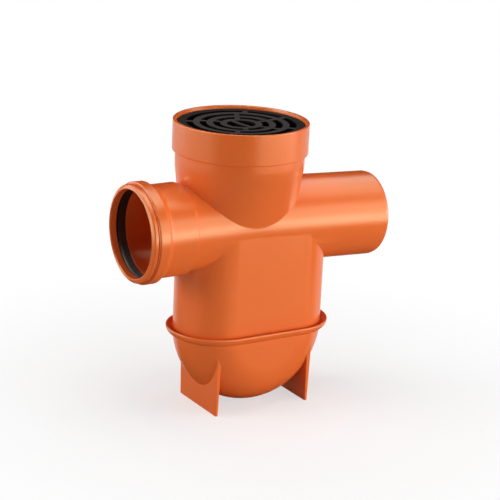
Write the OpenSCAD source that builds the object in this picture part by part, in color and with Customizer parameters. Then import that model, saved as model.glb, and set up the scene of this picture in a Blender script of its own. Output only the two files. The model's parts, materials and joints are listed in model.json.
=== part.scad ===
// Trapped yard gully for 110 mm drain pipe, moulded in two pieces from orange-brown PVC.
//
// X runs along the drain, from the inlet socket (-X) to the outlet spigot (+X).
// Z is up. The origin is on the ground, below the middle of the whole part.
// Each piece is drawn about the point where the neck's axis meets the drain's axis,
// and in_place() then lifts it onto its feet.

/* [Drain connections] */
// Outside diameter of the drain pipe, and of the outlet spigot
pipe_od = 110; // [104:1:125]
// Wall of the inlet and outlet stubs
pipe_wall = 3.4; // [2.8:0.1:4.5]
// From the neck's axis to the mouth of the inlet socket
inlet_reach = 152; // [140:1:220]
// From the neck's axis to the end of the outlet spigot
outlet_reach = 197; // [170:1:260]
// Fall of the outlet below level, in degrees
outlet_fall = 2.5; // [0:0.5:5]
// How far back from its end the spigot is held to the pipe's size
spigot_l = 66; // [60:1:69]
// How much wider in radius the drafted drain is behind the spigot
drain_draft = 0.3; // [0.2:0.1:1]
// Radial depth of the chamfer on the spigot's end
spigot_chamfer = 1; // [0.5:0.25:2]
// Length of the chamfer on the spigot's end
spigot_chamfer_l = 4; // [2:0.5:8]

/* [Inlet socket] */
// Radial play between the drain pipe and the socket's bore
socket_play = 0.2; // [0.1:0.05:0.5]
// Wall of the socket
socket_wall = 3.3; // [2.8:0.1:4.5]
// From the mouth to the shoulder that stops the pipe
socket_depth = 60; // [50:1:75]
// Radius of the rolled edge round the mouth
mouth_round = 5; // [4:0.25:6]
// How far the seal's bead stands out from the socket
bead_rise = 5.5; // [4.5:0.25:8]
// Width of the bead's crest
bead_w = 14; // [13.5:0.5:22]
// Length of the bead's back slope
bead_slope = 7; // [5:0.5:10]
// Width of the rubber seal
seal_w = 12; // [8:0.5:12.5]

/* [Riser collar and neck] */
// Outside diameter of the riser pipe that the collar can take
riser_od = 160; // [158:1:180]
// Radial play between the riser pipe and the collar
riser_play = 0.2; // [0.1:0.05:0.5]
// Wall of the collar
collar_wall = 5.3; // [4:0.1:7]
// Height of the collar, outside
collar_h = 39; // [30:1:60]
// Height of the collar's rim above the drain's axis
rim_rise = 131.5; // [125:0.5:180]
// Radial depth of the lead-in inside the collar's rim
lead_in = 1.5; // [0.5:0.25:2.5]
// Height of the lead-in inside the collar's rim
lead_in_h = 3; // [1:0.5:6]
// Width of the ledge inside the collar, which the grate stands on
ledge_w = 2.7; // [1.8:0.1:6]
// Thickness of the ledge
ledge_t = 4.5; // [3:0.5:8]
// Wall of the neck
neck_wall = 4; // [3:0.1:5]
// Straight length of the neck below the collar
neck_straight = 17; // [5:1:30]
// How much the neck draws in along the drain, at each side
neck_taper = 3; // [0:0.5:8]
// How far the foot of the neck tucks inside the drafted drain
neck_tuck = 2; // [1:0.5:6]

/* [Tank] */
// Length of the tank along the drain
tank_l = 204; // [180:1:240]
// How far each flat side of the tank lies inside the drafted drain
tank_inset = 0.5; // [0.3:0.1:3]
// From the drain's axis down to the joint with the bowl
tank_h = 137; // [120:1:200]
// Wall of the tank
tank_wall = 3.4; // [2.8:0.1:5]
// From the neck's axis to the middle of the tank, towards the outlet
tank_shift = 22; // [16:1:30]
// Depth of the water seal
water_seal = 60; // [50:1:70]
// Thickness of the dip wall that makes the seal
dip_wall = 3; // [2:0.5:5]

/* [Sump bowl] */
// Wall of the bowl
bowl_wall = 3.4; // [2.8:0.1:5]
// How far the gutter lip stands out round the joint
lip_reach = 9; // [7:0.5:12]
// Thickness of the gutter lip
lip_wall = 2.8; // [2:0.1:3.5]
// Height of the lip's edge above the joint
lip_rise = 1.5; // [0.5:0.5:5]

/* [Feet] */
// Gap between the bowl and the ground
ground_gap = 2; // [1:0.5:30]
// Distance over the outer faces of the two feet
feet_span = 138; // [110:1:160]
// Width of a foot at the ground
foot_w = 92; // [70:1:96]
// Thickness of a foot at the ground
foot_t = 3.5; // [2.5:0.5:6]
// Draft on every face of a foot, in degrees
foot_draft = 1; // [0:0.25:1.5]

/* [Grate] */
// Radial play of the grate in the collar
grate_play = 0.7; // [0.3:0.1:1.2]
// How far the grate's top lies below the rim
grate_recess = 4; // [1:0.5:10]
// Thickness of the grate's plate at its outer band
grate_t = 5; // [4:0.5:8]
// How far the middle of the grate's top lies below its outer band
grate_dish = 1.5; // [0.5:0.25:2.5]
// Width of the grate's outer band
grate_band = 10.5; // [6:0.5:12]
// Width of each ring between slots
ring_w = 8.5; // [6:0.5:10]
// Width of each slot
slot_w = 8.5; // [6:0.5:10]
// Width of the bridges across the slots
bridge_w = 6.5; // [4:0.5:10]
// Wall of the skirt that stands on the ledge
skirt_wall = 3; // [2:0.5:5]

/* [Hidden] */
$fn = 96;

pvc = "chocolate";
rubber = "black";
black_plastic = "dimgray";

// Drain and socket
pipe_r = pipe_od / 2;
pipe_bore_r = pipe_r - pipe_wall;
drain_r = pipe_r + drain_draft;
socket_r = pipe_r + socket_play;
barrel_r = socket_r + socket_wall;
bead_r = barrel_r + bead_rise;
groove_r = socket_r + bead_rise;
shoulder_at = inlet_reach - socket_depth;
// The socket's outer step lies a wall's thickness behind the shoulder inside it.
step_at = shoulder_at - socket_wall;
lip_line_at = inlet_reach - mouth_round - 1;
bead_front_at = lip_line_at - 3.5;
bead_back_at = bead_front_at - bead_w;
// The groove starts where the wall under the bead's back slope meets its floor.
seal_groove_at = bead_back_at + socket_wall * (norm([bead_rise, bead_slope]) - bead_slope) / bead_rise;
seal_groove_w = bead_front_at - seal_groove_at;
seal_slack = (seal_groove_w - seal_w) / 2;

// Collar and neck
collar_bore_r = riser_od / 2 + riser_play;
collar_r = collar_bore_r + collar_wall;
collar_at = rim_rise - collar_h;
ledge_at = collar_at + ledge_t;
neck_bore_r = collar_bore_r - ledge_w;
neck_r = neck_bore_r + neck_wall;
taper_at = collar_at - neck_straight;
foot_half_l = neck_r - neck_taper;
foot_half_w = drain_r - neck_tuck;

// Tank, dip wall and bowl
tank_r = drain_r - tank_inset;
leg_pitch = tank_l - 2 * tank_r;
weir_at = pipe_bore_r + tan(outlet_fall) * (tank_shift + tank_l / 2);
dip_at = weir_at + water_seal;
// The dip wall leans from mid-tank to the corner of the neck and the outlet's crown.
dip_bend_at = -20;
crown_at = [neck_bore_r - neck_taper, pipe_bore_r];

// Height of the drain's axis over the ground, and the middle of the whole length
axis_h = ground_gap + tank_l / 2 + tank_h;
outlet_end = outlet_reach * cos(outlet_fall) + (pipe_r - spigot_chamfer) * sin(outlet_fall);
mid_x = (outlet_end - inlet_reach) / 2;

// How far each half of the drain is drawn past the bend before it is trimmed
bend_past = drain_r * tan(outlet_fall) + 1;

// Grate
grate_r = collar_bore_r - grate_play;
slots_r = grate_r - grate_band;
ring_pitch = ring_w + slot_w;
slot_count = 3;
eye_r = slots_r - slot_count * ring_pitch;
grate_at = rim_rise - grate_recess;
// Bearings of the bridges across each slot, from the outermost slot inwards
bridges = [[6, 55, 150, 230, 314], [4, 66, 142, 234, 304], [4, 68, 134, 250, 304]];
eye_bar_at = 75;

// Slack by which a cut runs past the face it opens
over = 1;
// Keeps the facets of the neck's taper just under the round neck that they meet
under = 0.05;

module in_place() {
    translate([-mid_x, 0, axis_h]) children();
}

// Lays a shape drawn upwards from the origin along the inlet or the outlet
module along_inlet() {
    rotate([0, -90, 0]) children();
}
module along_outlet() {
    rotate([0, 90 + outlet_fall, 0]) children();
}

// Upright prism with flat sides and round ends, which both halves of the tank share
module round_ended(r, h) {
    translate([tank_shift, 0, 0]) {
        for (side = [-1, 1])
            translate([side * leg_pitch / 2, 0, 0]) cylinder(r = r, h = h);
        translate([-leg_pitch / 2, -r, 0]) cube([leg_pitch, 2 * r, h]);
    }
}

// Round neck that flattens, on its way down, to the width of the drain
module neck_shape(r, half_l, half_w) {
    translate([0, 0, taper_at]) cylinder(r = r, h = collar_at - taper_at + over);
    hull() {
        translate([0, 0, taper_at]) linear_extrude(over) circle(r = r - under, $fn = 64);
        translate([0, 0, -over]) linear_extrude(over) scale([half_l, half_w]) circle(r = 1, $fn = 64);
    }
}

// The inlet is level and the outlet falls, so each is trimmed at the plane that halves the bend
module bend_side(side) {
    intersection() {
        children();
        rotate([0, outlet_fall / 2, 0]) translate([side * outlet_reach, 0, 0])
            cube(2 * outlet_reach, center = true);
    }
}

// Outside of the inlet: stub, socket barrel, bead over the seal and rolled mouth
module inlet_outside() {
    bend_side(-1) along_inlet() rotate_extrude() {
        polygon([
            [0, -bend_past], [drain_r, -bend_past],
            [drain_r, step_at - over], [barrel_r, step_at + over],
            [barrel_r, bead_back_at - bead_slope], [bead_r, bead_back_at],
            [bead_r, bead_front_at], [socket_r + mouth_round, lip_line_at],
            [socket_r + mouth_round, lip_line_at + over], [0, lip_line_at + over]
        ]);
        translate([socket_r + mouth_round / 4, inlet_reach - mouth_round]) circle(r = mouth_round);
    }
}

// Inside of the inlet: bore, shoulder, socket, groove for the seal and lead-in
module inlet_inside() {
    bend_side(-1) along_inlet() rotate_extrude() polygon([
        [0, -bend_past], [pipe_bore_r, -bend_past],
        [pipe_bore_r, shoulder_at], [socket_r, shoulder_at],
        [socket_r, seal_groove_at], [groove_r, seal_groove_at],
        [groove_r, bead_front_at], [socket_r, bead_front_at],
        [socket_r, inlet_reach - 2 * over], [socket_r + over, inlet_reach + over],
        [0, inlet_reach + over]
    ]);
}

// Outside of the outlet: drafted from the neck down to the spigot, which is a true pipe end
module outlet_outside() {
    bend_side(1) along_outlet() rotate_extrude() polygon([
        [0, -bend_past], [drain_r, -bend_past], [drain_r, neck_r],
        [pipe_r, outlet_reach - spigot_l], [pipe_r, outlet_reach - spigot_chamfer_l],
        [pipe_r - spigot_chamfer, outlet_reach], [0, outlet_reach]
    ]);
}

module outlet_inside() {
    bend_side(1) along_outlet() translate([0, 0, -bend_past])
        cylinder(r = pipe_bore_r, h = bend_past + outlet_reach + over);
}

// Inside of the collar, from the ledge up to the lead-in at the rim
module collar_inside() {
    rotate_extrude() polygon([
        [0, ledge_at], [collar_bore_r, ledge_at],
        [collar_bore_r, rim_rise - lead_in_h], [collar_bore_r + lead_in, rim_rise],
        [collar_bore_r + lead_in, rim_rise + over], [0, rim_rise + over]
    ]);
}

module body_outside() {
    translate([0, 0, collar_at]) cylinder(r = collar_r, h = collar_h);
    neck_shape(neck_r, foot_half_l, foot_half_w);
    inlet_outside();
    outlet_outside();
    translate([0, 0, -tank_h]) round_ended(tank_r, tank_h);
}

module body_inside() {
    collar_inside();
    neck_shape(neck_bore_r, foot_half_l - neck_wall, foot_half_w - pipe_wall);
    translate([0, 0, collar_at]) cylinder(r = neck_bore_r, h = collar_h);
    inlet_inside();
    outlet_inside();
    translate([0, 0, -tank_h - over]) round_ended(tank_r - tank_wall, tank_h + over);
}

// Wall that dips into the water, leaning up to the outlet's crown
module dip_plate() {
    slope = [crown_at[0] - tank_shift, crown_at[1] - dip_bend_at];
    past = crown_at + slope * 0.15;
    rotate([90, 0, 0]) linear_extrude(2 * neck_r, center = true) polygon([
        [tank_shift, -dip_at], [tank_shift + dip_wall, -dip_at],
        [tank_shift + dip_wall, dip_bend_at], past + [dip_wall, 0], past,
        [tank_shift, dip_bend_at]
    ]);
}

module trap_body() {
    color(pvc) in_place() {
        difference() {
            body_outside();
            body_inside();
        }
        intersection() {
            dip_plate();
            body_outside();
        }
    }
}

// Half revolve of the tank's plan about a level axis, which turns one leg into the other
module u_turn(r) {
    translate([tank_shift, 0, -tank_h]) rotate([-90, 0, 0]) rotate_extrude(angle = 180) {
        intersection() {
            translate([leg_pitch / 2, 0]) circle(r = r);
            translate([leg_pitch / 2, -r]) square([r, 2 * r]);
        }
        translate([0, -r]) square([leg_pitch / 2, 2 * r]);
    }
}

// Section of the gutter lip, drawn out from the tank's wall
module lip_section(wall_r) {
    translate([wall_r, 0]) intersection() {
        difference() {
            circle(r = lip_reach);
            circle(r = lip_reach - lip_wall);
        }
        translate([-lip_wall / 2, -lip_reach]) square([lip_reach + lip_wall, lip_reach]);
    }
}

// Gutter that catches the lower edge of the tank, carried round both ends and both sides
module gutter_lip() {
    translate([tank_shift, 0, lip_rise - tank_h]) {
        for (side = [0, 180]) rotate([0, 0, side]) {
            translate([leg_pitch / 2, 0, 0]) rotate([0, 0, -90]) rotate_extrude(angle = 180)
                lip_section(tank_r);
            translate([leg_pitch / 2, 0, 0]) rotate([90, 0, -90]) linear_extrude(leg_pitch)
                lip_section(tank_r);
        }
    }
}

// One foot: a plate across the drain, drafted on its faces and its edges
module foot(side) {
    h = ground_gap + tank_l / 2;
    grow = h * tan(foot_draft);
    translate([tank_shift + side * (feet_span - foot_t) / 2, 0, -tank_h - h]) intersection() {
        rotate([90, 0, 0]) linear_extrude(2 * foot_w, center = true) polygon([
            [-foot_t / 2, 0], [foot_t / 2, 0], [foot_t / 2 + grow, h], [-foot_t / 2 - grow, h]
        ]);
        rotate([90, 0, 90]) linear_extrude(4 * h, center = true) polygon([
            [-foot_w / 2, 0], [foot_w / 2, 0], [foot_w / 2 + grow, h], [-foot_w / 2 - grow, h]
        ]);
    }
}

module sump_bowl() {
    color(pvc) in_place() difference() {
        union() {
            u_turn(tank_r);
            gutter_lip();
            for (side = [-1, 1]) foot(side);
        }
        u_turn(tank_r - bowl_wall);
        // Open the mouth of the bowl over its whole inside.
        translate([0, 0, -tank_h]) round_ended(tank_r - bowl_wall, 2 * lip_reach);
    }
}

// Rubber ring in the socket's groove, with its lip laid back as it is round a pipe
module inlet_seal_ring() {
    lip_r = socket_r + 0.1;
    heel_r = (lip_r + groove_r) / 2;
    color(rubber) in_place() along_inlet()
        translate([0, 0, seal_groove_at + seal_slack]) rotate_extrude() polygon([
            [heel_r, 0], [groove_r, 0],
            [groove_r, seal_w], [lip_r, seal_w],
            [lip_r, seal_w * 0.6], [heel_r, seal_w * 0.3]
        ]);
}

// Straight bar from radius r1 to radius r2 on the given bearing
module spoke(bearing, r1, r2) {
    rotate([0, 0, bearing]) translate([r1, -bridge_w / 2, 0])
        cube([r2 - r1, bridge_w, grate_t + 4 * over]);
}

// Round slot broken by its bridges
module ring_slot(r_out, bearings) {
    difference() {
        cylinder(r = r_out, h = grate_t + 2 * over);
        translate([0, 0, -over]) cylinder(r = r_out - slot_w, h = grate_t + 4 * over);
        for (bearing = bearings)
            translate([0, 0, -over]) spoke(bearing, r_out - slot_w - over, r_out + over);
    }
}

module grate() {
    skirt_h = grate_at - grate_t - ledge_at;
    color(black_plastic) in_place() translate([0, 0, ledge_at]) difference() {
        rotate_extrude() polygon([
            [0, 0], [grate_r, 0], [grate_r, skirt_h + grate_t],
            [slots_r, skirt_h + grate_t], [0, skirt_h + grate_t - grate_dish]
        ]);
        translate([0, 0, -over]) cylinder(r = grate_r - skirt_wall, h = skirt_h + over);
        translate([0, 0, skirt_h - over]) {
            for (i = [0 : slot_count - 1])
                ring_slot(slots_r - i * ring_pitch, bridges[i]);
            difference() {
                cylinder(r = eye_r, h = grate_t + 2 * over);
                for (half_turn = [0, 180])
                    translate([0, 0, -over]) spoke(eye_bar_at + half_turn, -over, eye_r + over);
            }
        }
    }
}

trap_body();
sump_bowl();
inlet_seal_ring();
grate();
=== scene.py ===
"""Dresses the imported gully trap: moulded PVC body and bowl, socket seal and slotted grate."""
import json
import math

import bmesh
import bpy
from mathutils import Matrix, Quaternion, Vector


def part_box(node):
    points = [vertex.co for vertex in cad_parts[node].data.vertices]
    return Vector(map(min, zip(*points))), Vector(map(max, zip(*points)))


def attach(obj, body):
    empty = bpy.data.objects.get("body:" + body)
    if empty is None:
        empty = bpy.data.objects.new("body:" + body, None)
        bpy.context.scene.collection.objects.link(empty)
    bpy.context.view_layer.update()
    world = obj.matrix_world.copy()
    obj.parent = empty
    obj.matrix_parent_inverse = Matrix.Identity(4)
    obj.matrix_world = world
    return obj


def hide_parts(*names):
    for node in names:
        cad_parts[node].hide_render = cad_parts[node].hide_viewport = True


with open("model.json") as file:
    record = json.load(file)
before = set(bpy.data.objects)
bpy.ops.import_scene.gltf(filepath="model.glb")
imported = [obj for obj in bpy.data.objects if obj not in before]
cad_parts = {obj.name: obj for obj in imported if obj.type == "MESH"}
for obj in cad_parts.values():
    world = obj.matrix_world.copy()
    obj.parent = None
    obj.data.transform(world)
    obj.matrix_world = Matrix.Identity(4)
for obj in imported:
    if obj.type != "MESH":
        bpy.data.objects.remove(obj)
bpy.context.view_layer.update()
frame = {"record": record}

# ---------------------------------------------------------------- sizes, in metres

MM = 0.001
MOUNTS = {mount["name"]: mount for mount in frame["record"]["mounts"]}
BODY_LOW, BODY_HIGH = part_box("trap_body")
BOWL_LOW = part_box("sump_bowl")[0]
GRATE_LOW, GRATE_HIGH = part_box("grate")

# Every piece is drawn about the point where the neck's axis meets the drain's axis.
CENTRE = Vector((
    MOUNTS["riser_collar"]["pos_m"][0],
    0,
    MOUNTS["inlet_socket"]["pos_m"][2],
))
FALL = math.acos(MOUNTS["outlet_spigot"]["axis"][0])

# How far a cutting shape reaches past what it cuts
OVER = 1 * MM
# Vertices nearer than this are made one.
WELD = 0.001 * MM
# Flat steps round a full turn, for the mouldings and the seal, and for the grate
TURN_STEPS = 160
GRATE_STEPS = 120

# Drain
WALL = 3.4 * MM
SPIGOT_R = MOUNTS["outlet_spigot"]["dims"]["r_mm"] * MM
DRAIN_R = SPIGOT_R + 0.3 * MM
DRAIN_BORE_R = SPIGOT_R - WALL
SPIGOT_L = 66 * MM
OUTLET_REACH = 197 * MM
INLET_REACH = CENTRE.x - BODY_LOW.x

# Socket
SOCKET_R = MOUNTS["inlet_socket"]["dims"]["r_mm"] * MM
SOCKET_WALL = 3.3 * MM
SOCKET_DEPTH = 60 * MM
BARREL_R = SOCKET_R + SOCKET_WALL
BEAD_RISE = 5.5 * MM
BEAD_W = 12 * MM
BEAD_SLOPE = 6 * MM
BEAD_R = BARREL_R + BEAD_RISE
GROOVE_R = SOCKET_R + BEAD_RISE
SHOULDER_AT = INLET_REACH - SOCKET_DEPTH
STEP_AT = SHOULDER_AT - SOCKET_WALL
MOUTH_ROUND = 5 * MM
MOUTH_R = SOCKET_R + MOUTH_ROUND
LIP_LINE_AT = INLET_REACH - MOUTH_ROUND - 1 * MM
BEAD_FRONT_AT = LIP_LINE_AT - 3.5 * MM
BEAD_BACK_AT = BEAD_FRONT_AT - BEAD_W
BEAD_FOOT_AT = BEAD_BACK_AT - BEAD_SLOPE
GROOVE_AT = SHOULDER_AT + MOUNTS["inlet_socket"]["dims"]["length_mm"] * MM

# Collar and neck
RIM_Z = BODY_HIGH.z - CENTRE.z
COLLAR_R = (BODY_HIGH.y - BODY_LOW.y) / 2
COLLAR_BORE_R = MOUNTS["riser_collar"]["dims"]["r_mm"] * MM
COLLAR_H = 39 * MM
COLLAR_Z = RIM_Z - COLLAR_H
LEDGE_W = 2.7 * MM
LEDGE_Z = GRATE_LOW.z - CENTRE.z
NECK_WALL = 4 * MM
NECK_BORE_R = COLLAR_BORE_R - LEDGE_W
NECK_R = NECK_BORE_R + NECK_WALL
NECK_STRAIGHT = 17 * MM
TAPER_Z = COLLAR_Z - NECK_STRAIGHT
NECK_TAPER = 3 * MM
NECK_TUCK = 2 * MM
# Half length and half width of the oval that the neck narrows to
NECK_FOOT_L = NECK_R - NECK_TAPER
NECK_FOOT_W = DRAIN_R - NECK_TUCK
NECK_BLEND = 16 * MM

# Tank and bowl
TANK_R = DRAIN_R - 0.5 * MM
TANK_X = 22 * MM
TANK_L = 204 * MM
LEG_PITCH = TANK_L - 2 * TANK_R
TANK_Z = BODY_LOW.z - CENTRE.z
GROUND_Z = BOWL_LOW.z - CENTRE.z
WATER_SEAL = 60 * MM
DIP_WALL_T = 3 * MM
LIP_REACH = 9 * MM
LIP_T = 2.8 * MM
LIP_RISE = 1.5 * MM
FEET_HALF_SPAN = 69 * MM
FOOT_HALF_T = 1.75 * MM
FOOT_HALF_W = 46 * MM
FOOT_DRAFT = math.radians(1)

# ---------------------------------------------------------------- mesh helpers


def soften(outline, steps=5):
    """Turns each (r, z, corner radius) of an outline into a point or a small arc."""
    points = []
    last = len(outline) - 1
    for i, (r, z, radius) in enumerate(outline):
        here = Vector((r, z))
        if radius == 0 or i in (0, last):
            points.append(here)
            continue
        back = (Vector(outline[i - 1][:2]) - here).normalized()
        ahead = (Vector(outline[i + 1][:2]) - here).normalized()
        half = back.angle(ahead) / 2
        start = here + back * radius / math.tan(half)
        middle = here + (back + ahead).normalized() * radius / math.sin(half)
        sweep = math.pi - 2 * half
        side = 1 if back.x * ahead.y - back.y * ahead.x > 0 else -1
        for step in range(steps + 1):
            turn = Matrix.Rotation(-side * sweep * step / steps, 2)
            points.append(middle + turn @ (start - middle))
    return points


def revolve(outline, segments=TURN_STEPS):
    """Closed turning about Z of an outline of (r, z, corner radius) that starts and ends on Z."""
    bm = bmesh.new()
    chain = [bm.verts.new((p.x, 0, p.y)) for p in soften(outline)]
    edges = [bm.edges.new(pair) for pair in zip(chain, chain[1:])]
    bmesh.ops.spin(
        bm, geom=chain + edges, cent=(0, 0, 0), axis=(0, 0, 1), dvec=(0, 0, 0),
        angle=math.tau, steps=segments, use_merge=True, use_duplicate=False,
    )
    bmesh.ops.remove_doubles(bm, verts=bm.verts, dist=WELD)
    bmesh.ops.recalc_face_normals(bm, faces=bm.faces)
    return bm


def shape(bm, x=None, y=None):
    """Moves every vertex by a rule: x and y give its new place from the old one."""
    for vert in bm.verts:
        old = vert.co.copy()
        if x:
            vert.co.x = x(old)
        if y:
            vert.co.y = y(old)
    return bm


def place(bm, matrix):
    bmesh.ops.transform(bm, matrix=matrix, verts=bm.verts)
    return bm


def cut(bm, point, normal):
    """Keeps what lies behind a plane, and leaves that end open."""
    bmesh.ops.bisect_plane(
        bm, geom=bm.verts[:] + bm.edges[:] + bm.faces[:], dist=WELD,
        plane_co=point, plane_no=normal, clear_outer=True,
    )
    return bm


def gather(*parts):
    """One bmesh of several, with the vertices that meet made one."""
    whole = bmesh.new()
    for part in parts:
        mesh = bpy.data.meshes.new("part")
        part.to_mesh(mesh)
        part.free()
        whole.from_mesh(mesh)
        bpy.data.meshes.remove(mesh)
    bmesh.ops.remove_doubles(whole, verts=whole.verts, dist=2 * WELD)
    bmesh.ops.recalc_face_normals(whole, faces=whole.faces)
    return whole


def as_object(bm, name):
    mesh = bpy.data.meshes.new(name)
    bm.to_mesh(mesh)
    bm.free()
    obj = bpy.data.objects.new(name, mesh)
    bpy.context.scene.collection.objects.link(obj)
    return obj


def combine(operation, base, *others):
    """Exact union, difference or intersection of closed bmeshes, as one bmesh."""
    body = as_object(base, "body")
    tools = [as_object(other, "tool") for other in others]
    for tool in tools:
        step = body.modifiers.new(operation, "BOOLEAN")
        step.operation = operation
        step.solver = "EXACT"
        step.object = tool
    graph = bpy.context.evaluated_depsgraph_get()
    result = bmesh.new()
    result.from_object(body, graph)
    for obj in [body, *tools]:
        bpy.data.meshes.remove(obj.data)
    return result


def finish_piece(bm, name, material, slot, *nodes, smooth_below=30):
    """Makes the finished object: in its place, shaded, on the body and in a node's stead."""
    place(bm, Matrix.Translation(CENTRE))
    for face in bm.faces:
        face.smooth = True
    for edge in bm.edges:
        if len(edge.link_faces) == 2 and edge.calc_face_angle() > math.radians(smooth_below):
            edge.smooth = False
    obj = as_object(bm, name)
    obj.data.materials.append(material)
    weighted = obj.modifiers.new("Even shading", "WEIGHTED_NORMAL")
    weighted.keep_sharp = True
    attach(obj, "root")
    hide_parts(*nodes)
    return obj


# ---------------------------------------------------------------- drain, neck and tank

INLET_TURN = Matrix.Rotation(-math.pi / 2, 4, "Y")
OUTLET_TURN = Matrix.Rotation(math.pi / 2 + FALL, 4, "Y")
BEND_NORMAL = Vector((math.cos(FALL / 2), 0, -math.sin(FALL / 2)))
# Each tube starts this far past the bend, where it is then cut.
PAST_BEND = -4 * MM


def drain(inlet_outline, outlet_outline):
    """The level inlet and the falling outlet, each cut at the bend and made one tube."""
    inlet = place(revolve(inlet_outline), INLET_TURN)
    outlet = place(revolve(outlet_outline), OUTLET_TURN)
    return gather(cut(inlet, (0, 0, 0), BEND_NORMAL), cut(outlet, (0, 0, 0), -BEND_NORMAL))


def drain_outside():
    """Step, barrel, bead over the seal and rolled mouth, and on the other side the spigot."""
    return drain(
        [
            (0, PAST_BEND, 0), (DRAIN_R, PAST_BEND, 0),
            (DRAIN_R, STEP_AT - 3 * MM, 0.2 * MM), (BARREL_R, STEP_AT - 0.8 * MM, 1.4 * MM),
            (BARREL_R, BEAD_FOOT_AT, 7 * MM), (BEAD_R, BEAD_BACK_AT, 1.2 * MM),
            (BEAD_R, BEAD_FRONT_AT, 0.8 * MM),
            (BEAD_R - 1.7 * MM, BEAD_FRONT_AT + 0.6 * MM, 0.2 * MM),
            (BEAD_R - 1.4 * MM, BEAD_FRONT_AT + 1.9 * MM, 0.5 * MM),
            (MOUTH_R + 0.1 * MM, LIP_LINE_AT - 1.4 * MM, 0.2 * MM),
            (MOUTH_R + 1.5 * MM, LIP_LINE_AT - 0.8 * MM, 0.5 * MM),
            (MOUTH_R + 1.5 * MM, INLET_REACH - 2.2 * MM, 3 * MM),
            (SOCKET_R + 1.4 * MM, INLET_REACH, 0.8 * MM), (0, INLET_REACH, 0),
        ],
        [
            (0, PAST_BEND, 0), (DRAIN_R, PAST_BEND, 0), (DRAIN_R, NECK_R, 0),
            (SPIGOT_R, OUTLET_REACH - SPIGOT_L, 0),
            (SPIGOT_R, OUTLET_REACH - 4 * MM, 1.5 * MM),
            (SPIGOT_R - 1 * MM, OUTLET_REACH, 0.6 * MM), (0, OUTLET_REACH, 0),
        ],
    )


def drain_inside():
    """Bore, socket, groove for the seal and lead-in, and on the other side the bore."""
    return drain(
        [
            (0, PAST_BEND, 0), (DRAIN_BORE_R, PAST_BEND, 0),
            (DRAIN_BORE_R, SHOULDER_AT, 1 * MM), (SOCKET_R, SHOULDER_AT, 0),
            (SOCKET_R, GROOVE_AT, 0.2 * MM), (GROOVE_R, GROOVE_AT, 0.8 * MM),
            (GROOVE_R, BEAD_FRONT_AT, 0.8 * MM), (SOCKET_R, BEAD_FRONT_AT, 0.6 * MM),
            (SOCKET_R, INLET_REACH - 1.5 * MM, 0.8 * MM),
            (SOCKET_R + 0.6 * MM, INLET_REACH - 0.3 * MM, 0),
            (SOCKET_R + 2 * MM, INLET_REACH + OVER, 0), (0, INLET_REACH + OVER, 0),
        ],
        [
            (0, PAST_BEND, 0), (DRAIN_BORE_R, PAST_BEND, 0),
            (DRAIN_BORE_R, OUTLET_REACH - 0.5 * MM, 0),
            (DRAIN_BORE_R + OVER, OUTLET_REACH + 0.5 * MM, 0), (0, OUTLET_REACH + 0.5 * MM, 0),
        ],
    )


def draw_in(bm, radius, foot_l, foot_w, from_z):
    """Narrows a turned neck, from about from_z down, from its circle to an oval at the drain."""
    start = from_z + NECK_BLEND / 2

    def share(vert, foot):
        depth = max(0, start - vert.z)
        eased = depth ** 2 / (2 * NECK_BLEND) if depth < NECK_BLEND else depth - NECK_BLEND / 2
        return 1 + (foot / radius - 1) * eased / from_z

    return shape(
        bm,
        x=lambda old: old.x * share(old, foot_l),
        y=lambda old: old.y * share(old, foot_w),
    )


def neck_levels(radius, from_z, count=20):
    """Rings down the neck, evenly spaced, so that its taper has something to bend."""
    top = from_z + NECK_BLEND / 2
    return [(radius, top * step / count, 0) for step in range(count + 1)]


def neck_outside():
    """Collar and neck."""
    bm = revolve(
        [(0, -OVER, 0), (NECK_R, -OVER, 0)] + neck_levels(NECK_R, TAPER_Z) + [
            (NECK_R, COLLAR_Z, 1 * MM), (COLLAR_R, COLLAR_Z, 1.2 * MM),
            (COLLAR_R, RIM_Z, 1.2 * MM), (0, RIM_Z, 0),
        ]
    )
    return draw_in(bm, NECK_R, NECK_FOOT_L, NECK_FOOT_W, TAPER_Z)


def neck_inside():
    """The collar's bore, the ledge under the grate and the neck's bore."""
    bm = revolve(
        [(0, -OVER, 0), (NECK_BORE_R, -OVER, 0)] + neck_levels(NECK_BORE_R, TAPER_Z) + [
            (NECK_BORE_R, LEDGE_Z, 0.8 * MM), (COLLAR_BORE_R, LEDGE_Z, 0.5 * MM),
            (COLLAR_BORE_R, RIM_Z - 3 * MM, 2 * MM),
            (COLLAR_BORE_R + 1.5 * MM, RIM_Z - 0.6 * MM, 1 * MM),
            (COLLAR_BORE_R + 3 * MM, RIM_Z + OVER, 0), (0, RIM_Z + OVER, 0),
        ]
    )
    return draw_in(bm, NECK_BORE_R, NECK_FOOT_L - NECK_WALL, NECK_FOOT_W - WALL, TAPER_Z)


def stretch(bm, pitch):
    """Pulls a shape's two halves apart along X, and moves it under the tank."""
    return shape(bm, x=lambda old: old.x + TANK_X + math.copysign(pitch / 2, old.x))


def tank(radius, low, high):
    """Upright prism with flat sides and round ends."""
    bm = bmesh.new()
    bmesh.ops.create_circle(bm, cap_ends=True, segments=TURN_STEPS, radius=radius)
    # Half a step of turn leaves no vertex on the plane where the halves are pulled apart.
    half_step = Matrix.Rotation(math.tau / (2 * TURN_STEPS), 3, "Z")
    bmesh.ops.rotate(bm, verts=bm.verts, cent=(0, 0, 0), matrix=half_step)
    stretch(bm, LEG_PITCH)
    walls = bmesh.ops.extrude_face_region(bm, geom=bm.faces[:])
    top = [item for item in walls["geom"] if isinstance(item, bmesh.types.BMVert)]
    bmesh.ops.translate(bm, verts=top, vec=(0, 0, high - low))
    bmesh.ops.translate(bm, verts=bm.verts, vec=(0, 0, low))
    bmesh.ops.recalc_face_normals(bm, faces=bm.faces)
    return bm


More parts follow.
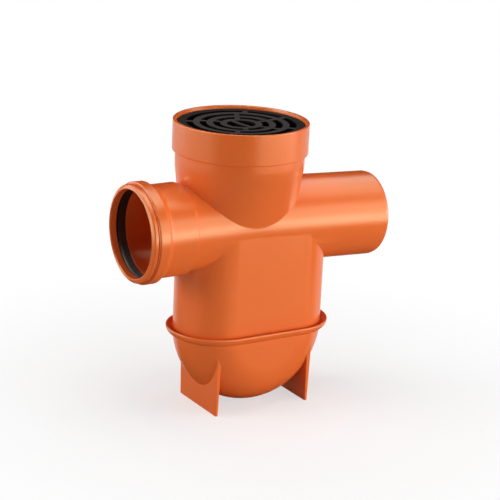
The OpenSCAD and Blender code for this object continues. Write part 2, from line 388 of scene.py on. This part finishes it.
def block(low, high):
    """Box between two corners."""
    bm = bmesh.new()
    size = Vector(high) - Vector(low)
    bmesh.ops.create_cube(bm, size=1, matrix=Matrix.Diagonal((*size, 1)))
    return place(bm, Matrix.Translation((Vector(high) + Vector(low)) / 2))


def dip_wall():
    """Wall that dips into the water in mid-tank, leaning up to the outlet's crown."""
    bend_z = -20 * MM
    weir_z = -(DRAIN_BORE_R + math.tan(FALL) * (TANK_X + TANK_L / 2))
    dip_z = weir_z - WATER_SEAL
    half_w = NECK_R
    crown = Vector((NECK_BORE_R - NECK_TAPER, DRAIN_BORE_R))
    lean = crown - Vector((TANK_X, bend_z))
    past_crown = 0.15
    past = crown + lean * past_crown
    bm = bmesh.new()
    outline = [
        (TANK_X, dip_z), (TANK_X + DIP_WALL_T, dip_z), (TANK_X + DIP_WALL_T, bend_z),
        (past.x + DIP_WALL_T, past.y), (past.x, past.y), (TANK_X, bend_z),
    ]
    face = bm.faces.new([bm.verts.new((x, -half_w, z)) for x, z in outline])
    grown = bmesh.ops.extrude_face_region(bm, geom=[face])
    far = [item for item in grown["geom"] if isinstance(item, bmesh.types.BMVert)]
    bmesh.ops.translate(bm, verts=far, vec=(0, 2 * half_w, 0))
    bmesh.ops.recalc_face_normals(bm, faces=bm.faces)
    return bm


def body_outside():
    """Outer form of the body, without its hollow."""
    return combine("UNION", drain_outside(), neck_outside(), tank(TANK_R, TANK_Z, 0))


def body_inside():
    """What is hollowed out of the body."""
    return combine(
        "UNION", drain_inside(), neck_inside(), tank(TANK_R - WALL, TANK_Z - OVER, 0)
    )


# Scales along X, Y and Z that bring the body's outside about halfway through its walls
HALFWAY_SCALE = (0.975, 0.970, 0.966)


def trap_body(material):
    """One moulding: the shell, and the dip wall with its edges held in the shell's walls."""
    shell = combine("DIFFERENCE", body_outside(), body_inside())
    halfway = place(body_outside(), Matrix.Diagonal((*HALFWAY_SCALE, 1)))
    wall = combine("INTERSECT", dip_wall(), halfway)
    whole = combine("UNION", shell, wall)
    return finish_piece(whole, "trap_body_moulding", material, "orange_pvc", "trap_body")


# ---------------------------------------------------------------- bowl


def u_turn(radius, lift=0, segments=96):
    """Half turning of the tank's plan about a level axis, its top raised by lift."""
    arc_steps = 64
    bm = bmesh.new()
    arc = [
        (LEG_PITCH / 2 + radius * math.cos(a), radius * math.sin(a))
        for a in (math.pi * (step / arc_steps - 0.5) for step in range(arc_steps + 1))
    ]
    chain = [bm.verts.new((x, y, 0)) for x, y in [(0, -radius), *arc, (0, radius)]]
    edges = [bm.edges.new(pair) for pair in zip(chain, chain[1:])]
    bmesh.ops.spin(
        bm, geom=chain + edges, cent=(0, 0, 0), axis=(0, 1, 0), dvec=(0, 0, 0),
        angle=math.pi, steps=segments, use_merge=False, use_duplicate=False,
    )
    bmesh.ops.remove_doubles(bm, verts=bm.verts, dist=WELD)
    rim = [edge for edge in bm.edges if edge.is_boundary]
    if lift:
        raised = bmesh.ops.extrude_edge_only(bm, edges=rim)["geom"]
        top = [item for item in raised if isinstance(item, bmesh.types.BMVert)]
        bmesh.ops.translate(bm, verts=top, vec=(0, 0, lift))
        rim = [edge for edge in bm.edges if edge.is_boundary]
    bmesh.ops.holes_fill(bm, edges=rim)
    bmesh.ops.recalc_face_normals(bm, faces=bm.faces)
    return place(bm, Matrix.Translation((TANK_X, 0, TANK_Z)))


def stretched_ring(outline, segments=96):
    """Ring of a closed (r, z, corner radius) section, with its halves LEG_PITCH apart."""
    halves = []
    for side in (1, -1):
        bm = bmesh.new()
        chain = [bm.verts.new((0, -side * p.x, p.y)) for p in soften_ring(outline)]
        edges = [bm.edges.new(pair) for pair in zip(chain, chain[1:] + chain[:1])]
        bmesh.ops.spin(
            bm, geom=chain + edges, cent=(0, 0, 0), axis=(0, 0, 1), dvec=(0, 0, 0),
            angle=math.pi, steps=segments, use_merge=False, use_duplicate=False,
        )
        halves.append(place(bm, Matrix.Translation((side * LEG_PITCH / 2, 0, 0))))
    ring = gather(*halves)
    for side in (1, -1):
        ends = [e for e in ring.edges if e.is_boundary and e.verts[0].co.y * side > 0]
        bmesh.ops.bridge_loops(ring, edges=ends)
    bmesh.ops.recalc_face_normals(ring, faces=ring.faces)
    return place(ring, Matrix.Translation((TANK_X, 0, 0)))


def soften_ring(outline, steps=4):
    """soften() for an outline that closes on itself."""
    wrapped = [outline[-1], *outline, outline[0]]
    wrapped[0] = (*wrapped[0][:2], 0)
    wrapped[-1] = (*wrapped[-1][:2], 0)
    return soften(wrapped, steps)[1:-1]


def gutter_lip():
    """Gutter round the joint: a quarter ring of the lip's reach, with a rounded edge."""
    gutter_steps, edge_steps = 10, 8
    top = TANK_Z + LIP_RISE
    inner_reach = LIP_REACH - LIP_T
    edge_r = LIP_T / 2
    outer = [
        (TANK_R + LIP_REACH * math.cos(a), top + LIP_REACH * math.sin(a), 0)
        for a in (-math.pi / 2 * step / gutter_steps for step in range(gutter_steps, 0, -1))
    ]
    edge = [
        (TANK_R + LIP_REACH - edge_r + edge_r * math.cos(a), top + edge_r * math.sin(a), 0)
        for a in (math.pi * step / edge_steps for step in range(edge_steps + 1))
    ]
    inner = [
        (TANK_R + inner_reach * math.cos(a), top + inner_reach * math.sin(a), 0)
        for a in (-math.pi / 2 * step / gutter_steps for step in range(1, gutter_steps + 1))
    ]
    root = [
        (TANK_R - edge_r, top - LIP_REACH + LIP_T, 0),
        (TANK_R - edge_r, top - LIP_REACH, 0),
    ]
    return stretched_ring(outer + edge + inner + root)


def foot(side):
    """Plate across the drain, drafted on its faces and edges, with softened edges."""
    height = TANK_Z - GROUND_Z
    grow = height * math.tan(FOOT_DRAFT)
    middle = TANK_X + side * (FEET_HALF_SPAN - FOOT_HALF_T)
    bm = block((-FOOT_HALF_T, -FOOT_HALF_W, 0), (FOOT_HALF_T, FOOT_HALF_W, height))
    for vert in bm.verts:
        if vert.co.z > height / 2:
            vert.co.x += math.copysign(grow, vert.co.x)
            vert.co.y += math.copysign(grow, vert.co.y)
    upright = [e for e in bm.edges if abs(e.verts[0].co.z - e.verts[1].co.z) > height / 2]
    bmesh.ops.bevel(
        bm, geom=upright, offset=0.6 * MM, affect="EDGES", segments=3, profile=0.5, material=-1,
    )
    return place(bm, Matrix.Translation((middle, 0, GROUND_Z)))


def sump_bowl(material):
    """One moulding: the hollow bowl with its gutter lip and both feet."""
    outside = combine("UNION", u_turn(TANK_R), gutter_lip(), foot(-1), foot(1))
    hollow = combine("DIFFERENCE", outside, u_turn(TANK_R - WALL, lift=OVER))
    return finish_piece(hollow, "sump_bowl_moulding", material, "orange_pvc", "sump_bowl")


# ---------------------------------------------------------------- seal


def seal_ring(material):
    """Rubber ring that fills the socket's groove, with a lip laid back just clear of the bore."""
    mouth_at, heel_at = BEAD_FRONT_AT - 1.5 * MM, GROOVE_AT
    width = mouth_at - heel_at
    lip_r = SOCKET_R + 0.1 * MM
    bm = bmesh.new()
    outline = soften_ring([
        (GROOVE_R, mouth_at, 0.8 * MM), (lip_r + 0.8 * MM, mouth_at, 0.6 * MM),
        (lip_r, mouth_at - 0.2 * width, 0.8 * MM), (lip_r, heel_at + 0.35 * width, 0.8 * MM),
        (lip_r + 0.1 * MM, heel_at, 0.2 * MM), (GROOVE_R, heel_at, 0.8 * MM),
    ])
    chain = [bm.verts.new((p.x, 0, p.y)) for p in outline]
    edges = [bm.edges.new(pair) for pair in zip(chain, chain[1:] + chain[:1])]
    bmesh.ops.spin(
        bm, geom=chain + edges, cent=(0, 0, 0), axis=(0, 0, 1), dvec=(0, 0, 0),
        angle=math.tau, steps=TURN_STEPS, use_merge=True, use_duplicate=False,
    )
    bmesh.ops.recalc_face_normals(bm, faces=bm.faces)
    place(bm, INLET_TURN)
    return finish_piece(bm, "socket_seal", material, "seal_rubber", "inlet_seal_ring")


# ---------------------------------------------------------------- grate

GRATE_R = (GRATE_HIGH.y - GRATE_LOW.y) / 2
GRATE_TOP = GRATE_HIGH.z - CENTRE.z
PLATE_T = 5 * MM
SKIRT_T = 3 * MM
DISH = 1.5 * MM
EDGE_BEVEL = 0.5 * MM
SLOTS_R = GRATE_R - 10.5 * MM
SLOT_W = 8.5 * MM
RING_PITCH = 17 * MM
BRIDGE_W = 6.5 * MM
# Bearings of the bridges across each slot, in degrees, from the outermost slot inwards
BRIDGES = ((6, 55, 150, 230, 314), (4, 66, 142, 234, 304), (4, 68, 134, 250, 304))
EYE_BAR_AT = 97
# Edges sharper than this, in degrees, are bevelled and shaded sharp.
GRATE_CORNER = 50
# How much of the painted sheen the rim gets, less as painted shade of the collar, where 1 is the
# rest of the top
RIM_SHEEN = 0.5


def disc(radius, low, high):
    """Round plate between two heights."""
    outline = [(0, low, 0), (radius, low, 0), (radius, high, 0), (0, high, 0)]
    return revolve(outline, GRATE_STEPS)


def spoke(bearing, r1, r2, low, high):
    """Bar as wide as a bridge, from one radius to another."""
    bar = block((r1, -BRIDGE_W / 2, low), (r2, BRIDGE_W / 2, high))
    return place(bar, Matrix.Rotation(math.radians(bearing), 4, "Z"))


def ring_slot(r_out, bearings, low, high):
    """What is cut for one round slot: a ring, less the bridges across it."""
    r_in = r_out - SLOT_W
    bars = [spoke(b, r_in - OVER, r_out + OVER, low - OVER, high + OVER) for b in bearings]
    return combine(
        "DIFFERENCE", disc(r_out, low, high), disc(r_in, low - OVER, high + OVER), *bars
    )


def slotted_grate(material):
    """Dished round plate on a skirt, with rings of slots, bridges and softened edges."""
    low, high = GRATE_TOP - PLATE_T, GRATE_TOP
    skirt_r = GRATE_R - SKIRT_T
    plate = revolve(
        [
            (0, low, 0), (skirt_r, low, 0), (skirt_r, LEDGE_Z, 0), (GRATE_R, LEDGE_Z, 0),
            (GRATE_R, high, 0), (SLOTS_R, high, 0), (0, high - DISH, 0),
        ],
        GRATE_STEPS,
    )
    below, above = low - OVER, high + OVER
    slots = [
        ring_slot(SLOTS_R - i * RING_PITCH, bearings, below, above)
        for i, bearings in enumerate(BRIDGES)
    ]
    eye_r = SLOTS_R - len(BRIDGES) * RING_PITCH
    eye_bar = spoke(EYE_BAR_AT, -eye_r - OVER, eye_r + OVER, below - OVER, above + OVER)
    eye = combine("DIFFERENCE", disc(eye_r, below, above), eye_bar)
    bm = combine("DIFFERENCE", plate, gather(*slots, eye))
    # Vertices nearer than most of a bevel's width are made one first, which keeps the bevel even.
    bmesh.ops.remove_doubles(bm, verts=bm.verts, dist=0.8 * EDGE_BEVEL)
    bmesh.ops.dissolve_degenerate(bm, edges=bm.edges, dist=0.2 * EDGE_BEVEL)
    corners = [
        edge for edge in bm.edges
        if len(edge.link_faces) == 2 and edge.calc_face_angle() > math.radians(GRATE_CORNER)
    ]
    bmesh.ops.bevel(
        bm, geom=corners, offset=EDGE_BEVEL, affect="EDGES", segments=2, profile=0.5,
        material=-1, clamp_overlap=True,
    )
    bmesh.ops.recalc_face_normals(bm, faces=bm.faces)
    # The faces that point up carry a painted sheen, weaker on the rim, where the collar's shade
    # is painted.
    painted_sheen = bm.faces.layers.float.new("painted_sheen")
    faces_up = 0.9
    for face in bm.faces:
        if face.normal.z > faces_up:
            on_rim = face.calc_center_median().xy.length >= SLOTS_R
            face[painted_sheen] = RIM_SHEEN if on_rim else 1
    return finish_piece(
        bm, "slotted_grate", material, "grate_plastic", "grate", smooth_below=GRATE_CORNER
    )


# ---------------------------------------------------------------- materials


def material_base(name):
    material = bpy.data.materials.new(name)
    material.use_nodes = True
    nodes = material.node_tree.nodes
    return material, nodes, material.node_tree.links, nodes["Principled BSDF"]


def noise(nodes, links, where, scale, detail=3, roughness=0.5):
    node = nodes.new("ShaderNodeTexNoise")
    node.inputs["Scale"].default_value = scale
    node.inputs["Detail"].default_value = detail
    node.inputs["Roughness"].default_value = roughness
    links.new(where, node.inputs["Vector"])
    return node.outputs["Fac"]


def ramp(nodes, links, fac, low, high):
    """Spreads a factor smoothly between two colours or two greys."""
    node = nodes.new("ShaderNodeValToRGB")
    node.color_ramp.interpolation = "EASE"
    links.new(fac, node.inputs["Fac"])
    ends = node.color_ramp.elements
    ends[0].position, ends[1].position = 0.2, 0.8
    ends[0].color, ends[1].color = low, high
    return node.outputs["Color"]


def grey(level):
    return (level, level, level, 1)


def moulded_pvc():
    """Orange-brown PVC: glossy, with faint streaks of pigment and a slightly uneven skin.

    The roughness stays under 0.273: the denoiser draws an edge where a surface crosses it.
    """
    material, nodes, links, shader = material_base("orange_pvc")
    place_of = nodes.new("ShaderNodeTexCoord").outputs["Object"]
    pigment = nodes.new("ShaderNodeMix")
    pigment.inputs["Factor"].default_value = 0.5
    links.new(noise(nodes, links, place_of, 7, 1), pigment.inputs["A"])
    links.new(noise(nodes, links, place_of, 420, 3), pigment.inputs["B"])
    colour = ramp(
        nodes, links, pigment.outputs["Result"],
        (0.735, 0.138, 0.0275, 1), (0.785, 0.150, 0.0310, 1),
    )
    links.new(colour, shader.inputs["Base Color"])
    polish = noise(nodes, links, place_of, 22, 2)
    links.new(ramp(nodes, links, polish, grey(0.25), grey(0.27)), shader.inputs["Roughness"])
    skin = noise(nodes, links, place_of, 25, 0)
    soft_edge = nodes.new("ShaderNodeBevel")
    soft_edge.samples = 6
    soft_edge.inputs["Radius"].default_value = 0.8 * MM
    bump = nodes.new("ShaderNodeBump")
    bump.inputs["Strength"].default_value = 0.15
    bump.inputs["Distance"].default_value = 1 * MM
    links.new(skin, bump.inputs["Height"])
    links.new(soft_edge.outputs["Normal"], bump.inputs["Normal"])
    links.new(bump.outputs["Normal"], shader.inputs["Normal"])
    shader.inputs["IOR"].default_value = 1.5
    shader.inputs["Specular Tint"].default_value = (0.40, 1.0, 0.68, 1)
    return material


def dark_plastic():
    """Matt black moulded plastic with a fine grain, and a painted grey sheen on the faces that
    point up.
    """
    material, nodes, links, shader = material_base("grate_plastic")
    place_of = nodes.new("ShaderNodeTexCoord").outputs["Object"]
    cloud = noise(nodes, links, place_of, 40, 4)
    painted_sheen = nodes.new("ShaderNodeAttribute")
    painted_sheen.attribute_name = "painted_sheen"
    colour = nodes.new("ShaderNodeMix")
    colour.data_type = "RGBA"
    links.new(painted_sheen.outputs["Fac"], colour.inputs["Factor"])
    black = ramp(nodes, links, cloud, (0.009, 0.008, 0.008, 1), (0.013, 0.011, 0.011, 1))
    # Painted sheen: a lighter grey for the faces that point up, mixed in by the face attribute.
    sheen_colour = ramp(nodes, links, cloud, (0.064, 0.055, 0.054, 1), (0.082, 0.071, 0.070, 1))
    links.new(black, colour.inputs["A"])
    links.new(sheen_colour, colour.inputs["B"])
    links.new(colour.outputs["Result"], shader.inputs["Base Color"])
    links.new(ramp(nodes, links, cloud, grey(0.5), grey(0.6)), shader.inputs["Roughness"])
    grain = noise(nodes, links, place_of, 1400, 2)
    bump = nodes.new("ShaderNodeBump")
    bump.inputs["Strength"].default_value = 0.2
    bump.inputs["Distance"].default_value = 0.2 * MM
    links.new(grain, bump.inputs["Height"])
    links.new(bump.outputs["Normal"], shader.inputs["Normal"])
    shader.inputs["Specular IOR Level"].default_value = 0
    return material


def seal_rubber():
    """Black rubber with a soft, slightly dusty surface."""
    material, nodes, links, shader = material_base("seal_rubber")
    place_of = nodes.new("ShaderNodeTexCoord").outputs["Object"]
    dust = noise(nodes, links, place_of, 60, 5)
    colour = ramp(nodes, links, dust, (0.012, 0.012, 0.012, 1), (0.024, 0.022, 0.021, 1))
    links.new(colour, shader.inputs["Base Color"])
    links.new(ramp(nodes, links, dust, grey(0.40), grey(0.6)), shader.inputs["Roughness"])
    return material


# ---------------------------------------------------------------- stage, light and camera


def floor():
    """Pale disc that keeps the object's shadow and fades into the white around it."""
    radius, steps = 1.3, 96
    bm = bmesh.new()
    bmesh.ops.create_circle(bm, cap_ends=True, segments=steps, radius=radius)
    obj = as_object(bm, "floor")
    material, nodes, links, shader = material_base("floor_white")
    shader.inputs["Roughness"].default_value = 0.9
    seen = nodes.new("ShaderNodeLightPath").outputs["Is Camera Ray"]
    shade = nodes.new("ShaderNodeMix")
    shade.data_type = "RGBA"
    links.new(seen, shade.inputs["Factor"])
    shade.inputs["A"].default_value = grey(0.5)
    shade.inputs["B"].default_value = grey(0.95)
    links.new(shade.outputs["Result"], shader.inputs["Base Color"])
    away = nodes.new("ShaderNodeVectorMath")
    away.operation = "LENGTH"
    links.new(nodes.new("ShaderNodeTexCoord").outputs["Object"], away.inputs[0])
    fade = nodes.new("ShaderNodeMapRange")
    fade.interpolation_type = "SMOOTHSTEP"
    for socket, value in (("From Min", 0.1), ("From Max", 0.6), ("To Min", 0.58), ("To Max", 1)):
        fade.inputs[socket].default_value = value
    links.new(away.outputs["Value"], fade.inputs["Value"])
    glow = nodes.new("ShaderNodeMath")
    glow.operation = "MULTIPLY"
    links.new(seen, glow.inputs[0])
    links.new(fade.outputs["Result"], glow.inputs[1])
    white = nodes.new("ShaderNodeEmission")
    mix = nodes.new("ShaderNodeMixShader")
    links.new(glow.outputs["Value"], mix.inputs["Fac"])
    links.new(shader.outputs["BSDF"], mix.inputs[1])
    links.new(white.outputs["Emission"], mix.inputs[2])
    links.new(mix.outputs["Shader"], nodes["Material Output"].inputs["Surface"])
    obj.data.materials.append(material)
    obj.visible_glossy = False


def aim(obj, spot, azimuth, elevation, distance, roll=0):
    """Puts a camera or lamp round a spot and turns it to look there. Angles are in degrees."""
    a, e = math.radians(azimuth), math.radians(elevation)
    away = Vector((-math.sin(a) * math.cos(e), -math.cos(a) * math.cos(e), math.sin(e)))
    obj.location = spot + away * distance
    obj.rotation_mode = "QUATERNION"
    tilt = Quaternion((0, 0, 1), math.radians(roll))
    obj.rotation_quaternion = away.to_track_quat("Z", "Y") @ tilt


# Name, azimuth and elevation in degrees, width and height in metres, and watts
SOFTBOXES = (
    ("left_softbox", 112, 12, 1.2, 0.9, 29),
    ("right_softbox", -45, 6, 2.0, 0.8, 31),
    ("front_softbox", -2, 8, 1.2, 0.9, 16),
    ("back_softbox", -160, 20, 1.8, 1.0, 8),
    ("top_softbox", 0, 85, 1.5, 1.5, 22),
)
LAMP_DISTANCE = 2.2
MID_HEIGHT = Vector((0, 0, 0.2))


def softbox(name, azimuth, elevation, width, height, watts):
    """Soft lamp round the object. What is mirrored of it is painted in the world."""
    lamp = bpy.data.lights.new(name, "AREA")
    lamp.shape = "RECTANGLE"
    lamp.size, lamp.size_y = width, height
    lamp.energy = watts
    obj = bpy.data.objects.new(name, lamp)
    bpy.context.scene.collection.objects.link(obj)
    obj.visible_glossy = False
    aim(obj, MID_HEIGHT, azimuth, elevation, LAMP_DISTANCE)


# Mirrored panels: azimuth, half width and the softness of the sides in degrees, then the lowest
# and highest Z of the direction, the softness of those two ends, and the strength
PANELS = (
    (-37, 38, 4, -0.18, 0.16, 0.12, 9.8),
    (-37, 38, 4, 0.20, 0.55, 0.10, 5.0),
    (117, 40, 14, -0.18, 0.16, 0.12, 6.8),
    (117, 40, 14, 0.20, 0.50, 0.10, 2.4),
    (-140, 60, 10, -0.50, -0.10, 0.08, 0.8),
    (-98, 38, 10, 0.55, 0.85, 0.06, 3.2),
    (125, 25, 10, 0.55, 0.85, 0.06, 8.0),
)
# Mirrored panel overhead: the Z of the direction where it starts, where it is full, its strength
OVERHEAD = (0.80, 0.92, 7)
FILL = 0.07


def studio():
    """White behind the object, and for its gloss a dark studio with large soft panels."""
    made = bpy.data.worlds.new("studio")
    bpy.context.scene.world = made
    made.use_nodes = True
    made.cycles.sampling_method = "NONE"
    nodes, links = made.node_tree.nodes, made.node_tree.links
    where = nodes.new("ShaderNodeTexCoord").outputs["Generated"]
    level = nodes.new("ShaderNodeVectorMath")
    level.operation = "MULTIPLY"
    level.inputs[1].default_value = (1, 1, 0)
    links.new(where, level.inputs[0])
    heading = nodes.new("ShaderNodeVectorMath")
    heading.operation = "NORMALIZE"
    links.new(level.outputs["Vector"], heading.inputs[0])
    apart = nodes.new("ShaderNodeSeparateXYZ")
    links.new(where, apart.inputs["Vector"])

    def math_node(operation, first, second):
        node = nodes.new("ShaderNodeMath")
        node.operation = operation
        for socket, value in zip(node.inputs, (first, second)):
            if isinstance(value, bpy.types.NodeSocket):
                links.new(value, socket)
            else:
                socket.default_value = value
        return node.outputs["Value"]

    def ease(value, none_at, full_at, strength=1):
        node = nodes.new("ShaderNodeMapRange")
        node.interpolation_type = "SMOOTHSTEP"
        node.inputs["From Min"].default_value = none_at
        node.inputs["From Max"].default_value = full_at
        node.inputs["To Max"].default_value = strength
        links.new(value, node.inputs["Value"])
        return node.outputs["Result"]

    def panel(azimuth, half_width, soft, low, high, height_soft, strength):
        """Panel round a bearing, between two heights of the direction's Z, with soft edges."""
        bearing = math.radians(azimuth)
        facing = nodes.new("ShaderNodeVectorMath")
        facing.operation = "DOT_PRODUCT"
        links.new(heading.outputs["Vector"], facing.inputs[0])
        facing.inputs[1].default_value = (-math.sin(bearing), -math.cos(bearing), 0)
        across = ease(
            facing.outputs["Value"],
            math.cos(math.radians(half_width + soft)), math.cos(math.radians(half_width - soft)),
            strength,
        )
        z = apart.outputs["Z"]
        above = ease(z, low - height_soft, low + height_soft)
        under = ease(z, high + height_soft, high - height_soft)
        return math_node("MULTIPLY", across, math_node("MULTIPLY", above, under))

    glow = ease(apart.outputs["Z"], *OVERHEAD)
    for row in PANELS:
        glow = math_node("ADD", glow, panel(*row))
    path = nodes.new("ShaderNodeLightPath")
    glow = math_node("MULTIPLY", glow, path.outputs["Is Glossy Ray"])
    fill = math_node("MULTIPLY", path.outputs["Is Diffuse Ray"], FILL)
    glow = math_node("ADD", math_node("ADD", glow, fill), path.outputs["Is Camera Ray"])
    back = nodes["Background"]
    back.inputs["Color"].default_value = (1, 1, 1, 1)
    links.new(glow, back.inputs["Strength"])


VIEW_SPOT = Vector((-0.0020, 0, 0.2003))
VIEW_AZIMUTH, VIEW_ELEVATION, VIEW_ROLL = 31.87, 16.88, 2.7
VIEW_DISTANCE = 2.3493
LENS_MM, SENSOR_MM = 132.385, 36


def camera():
    """Long lens, a little above the object and to its inlet side, as in a product picture."""
    lens = bpy.data.cameras.new("camera")
    lens.lens = LENS_MM
    lens.sensor_width = SENSOR_MM
    lens.clip_end = 50
    obj = bpy.data.objects.new("camera", lens)
    bpy.context.scene.collection.objects.link(obj)
    aim(obj, VIEW_SPOT, VIEW_AZIMUTH, VIEW_ELEVATION, VIEW_DISTANCE, VIEW_ROLL)
    bpy.context.scene.camera = obj


# ---------------------------------------------------------------- the object

pvc = moulded_pvc()
trap_body(pvc)
sump_bowl(pvc)
seal_ring(seal_rubber())
slotted_grate(dark_plastic())

floor()
studio()
for lamp_row in SOFTBOXES:
    softbox(*lamp_row)
camera()

bpy.context.scene.view_settings.view_transform = "Standard"
